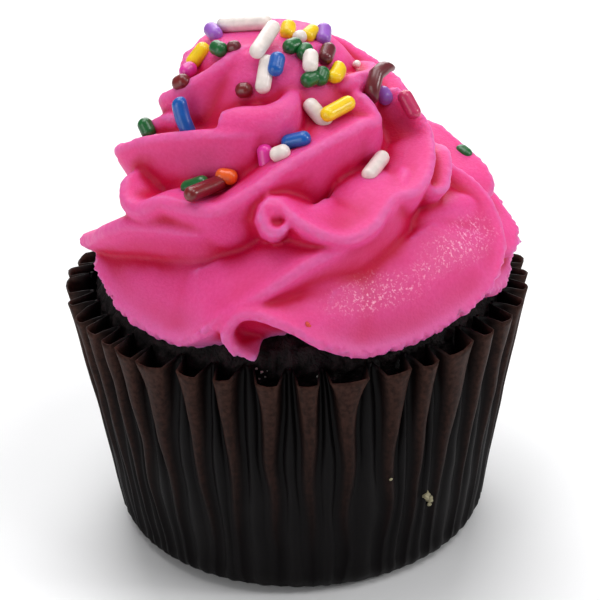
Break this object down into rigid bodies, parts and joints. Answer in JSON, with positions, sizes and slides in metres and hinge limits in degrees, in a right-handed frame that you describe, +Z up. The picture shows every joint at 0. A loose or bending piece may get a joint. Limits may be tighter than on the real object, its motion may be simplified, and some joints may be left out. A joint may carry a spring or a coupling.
{
  "type": "frosted cupcake in a paper case",
  "caption": "Chocolate cupcake in a pleated paper case, under a tall piped swirl of icing with sugar sprinkles.",
  "frame": {"origin": "middle of the case's flat bottom", "axes": "+Z up, -Y towards the viewer of the front, +X to the right"},
  "size_m": [0.0628, 0.0628, 0.0718],
  "materials": {
    "paper": "pleated greaseproof paper",
    "cake": "open crumb",
    "icing": "soft satin buttercream"
  },
  "bodies": {
    "root": {"paper_case": "paper", "cake": "cake", "icing": "icing"}
  },
  "joints": []
}
